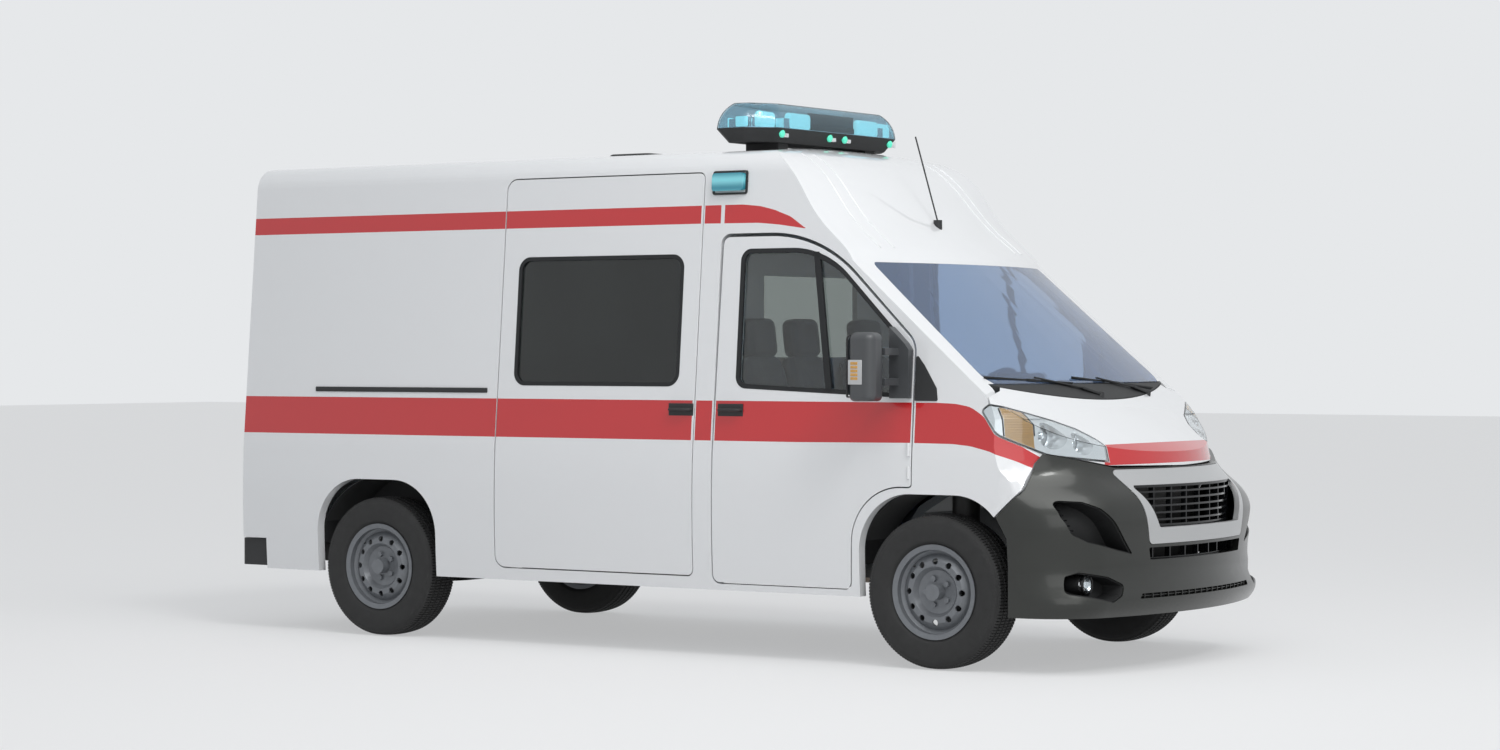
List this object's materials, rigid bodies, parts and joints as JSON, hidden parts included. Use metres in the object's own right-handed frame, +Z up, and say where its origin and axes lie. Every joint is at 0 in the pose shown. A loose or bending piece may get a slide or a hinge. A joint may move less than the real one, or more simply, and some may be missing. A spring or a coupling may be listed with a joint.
{
  "type": "ambulance van",
  "caption": "High-roof emergency ambulance on a panel van with opening doors and bonnet, steered front wheels, a roof light bar and side beacons.",
  "frame": {"origin": "on the ground under the middle of the vehicle's bounding box", "axes": "+Z up, +Y towards the rear, +X towards the vehicle's left"},
  "size_m": [2.512, 5.4194, 2.785],
  "materials": {
    "white_paint": "gloss",
    "silver_paint": "satin",
    "dark_plastic": "grained",
    "black_steel": "satin",
    "black_plastic": "grained",
    "amber_lens": "gloss",
    "sign_white": "satin",
    "cast_iron": "cast",
    "wheel_steel": "satin",
    "tyre": "matte",
    "screen_glass": "gloss",
    "side_glass": "gloss",
    "lamp_glass": "gloss",
    "lamp_chrome": "polished",
    "blue_lens": "gloss",
    "red_lens": "gloss",
    "interior_trim": "grained",
    "seat_fabric": "woven",
    "floor_mat": "matte",
    "exhaust_steel": "dull"
  },
  "bodies": {
    "body": {"side_panel_right": "white_paint", "side_panel_left": "white_paint", "roof": "white_paint", "floor": "floor_mat", "frame_rails": "black_steel", "partition": "interior_trim", "windscreen": "screen_glass", "cowl": "dark_plastic", "fenders": "white_paint", "front_bumper": "dark_plastic", "bumper_inserts": "black_plastic", "grille_surround": "silver_paint", "grille": "dark_plastic", "radiator": "black_steel", "engine": "cast_iron", "headlamps": "lamp_chrome", "headlamp_lenses": "lamp_glass", "indicator_lenses": "amber_lens", "sliding_door": "white_paint", "side_glass": "side_glass", "dashboard": "interior_trim", "steering_wheel": "dark_plastic", "seats": "seat_fabric", "rear_bumper": "dark_plastic", "tail_lamps": "red_lens", "corner_panels": "dark_plastic", "light_bar_base": "dark_plastic", "light_bar_lens": "blue_lens", "light_bar_modules": "lamp_chrome", "roof_sign": "sign_white", "side_beacons": "blue_lens", "antenna": "dark_plastic", "roof_vent": "dark_plastic", "front_suspension": "black_steel", "rear_axle": "black_steel", "arch_liners": "dark_plastic", "exhaust": "exhaust_steel"},
    "bonnet": {"bonnet": "white_paint"},
    "front_door_right": {"front_door_right": "white_paint", "front_glass_right": "side_glass", "mirror_right": "dark_plastic"},
    "rear_door_right": {"rear_door_right": "white_paint", "rear_glass_right": "side_glass"},
    "knuckle_front_right": {"knuckle_right": "cast_iron"},
    "wheel_front_right": {"tyre_front_right": "tyre", "rim_front_right": "wheel_steel"},
    "wheel_rear_right": {"tyre_rear_right": "tyre", "rim_rear_right": "wheel_steel"},
    "front_door_left": {"front_door_left": "white_paint", "front_glass_left": "side_glass", "mirror_left": "dark_plastic"},
    "rear_door_left": {"rear_door_left": "white_paint", "rear_glass_left": "side_glass"},
    "knuckle_front_left": {"knuckle_left": "cast_iron"},
    "wheel_front_left": {"tyre_front_left": "tyre", "rim_front_left": "wheel_steel"},
    "wheel_rear_left": {"tyre_rear_left": "tyre", "rim_rear_left": "wheel_steel"}
  },
  "joints": [
    {"name": "bonnet_lid", "type": "hinge", "parent": "body", "child": "bonnet", "pos_m": [0, -2.0172, 1.352], "axis": [-1, 0, 0], "range_deg": [0, 45]},
    {"name": "front_door_right_hinge", "type": "hinge", "parent": "body", "child": "front_door_right", "pos_m": [-1.02, -1.6252, 1.1], "axis": [0, 0, 1], "range_deg": [0, 68]},
    {"name": "rear_door_right_hinge", "type": "hinge", "parent": "body", "child": "rear_door_right", "pos_m": [-0.796, 2.6558, 1.4], "axis": [0, 0, 1], "range_deg": [0, 178]},
    {"name": "steer_right", "type": "hinge", "parent": "body", "child": "knuckle_front_right", "pos_m": [-0.83, -1.7552, 0.372], "axis": [0, 0, 1], "range_deg": [-33, 33]},
    {"name": "wheel_front_right_spin", "type": "hinge", "parent": "knuckle_front_right", "child": "wheel_front_right", "pos_m": [-0.905, -1.7552, 0.372], "axis": [1, 0, 0], "continuous": true},
    {"name": "wheel_rear_right_spin", "type": "hinge", "parent": "body", "child": "wheel_rear_right", "pos_m": [-0.895, 1.6948, 0.372], "axis": [1, 0, 0], "continuous": true},
    {"name": "front_door_left_hinge", "type": "hinge", "parent": "body", "child": "front_door_left", "pos_m": [1.02, -1.6252, 1.1], "axis": [0, 0, -1], "range_deg": [0, 68]},
    {"name": "rear_door_left_hinge", "type": "hinge", "parent": "body", "child": "rear_door_left", "pos_m": [0.796, 2.6558, 1.4], "axis": [0, 0, -1], "range_deg": [0, 178]},
    {"name": "steer_left", "type": "hinge", "parent": "body", "child": "knuckle_front_left", "pos_m": [0.83, -1.7552, 0.372], "axis": [0, 0, 1], "range_deg": [-33, 33]},
    {"name": "wheel_front_left_spin", "type": "hinge", "parent": "knuckle_front_left", "child": "wheel_front_left", "pos_m": [0.905, -1.7552, 0.372], "axis": [1, 0, 0], "continuous": true},
    {"name": "wheel_rear_left_spin", "type": "hinge", "parent": "body", "child": "wheel_rear_left", "pos_m": [0.895, 1.6948, 0.372], "axis": [1, 0, 0], "continuous": true}
  ],
  "couplings": [
    {"joint": "steer_right", "follows": "steer_left", "ratio": 1}
  ]
}
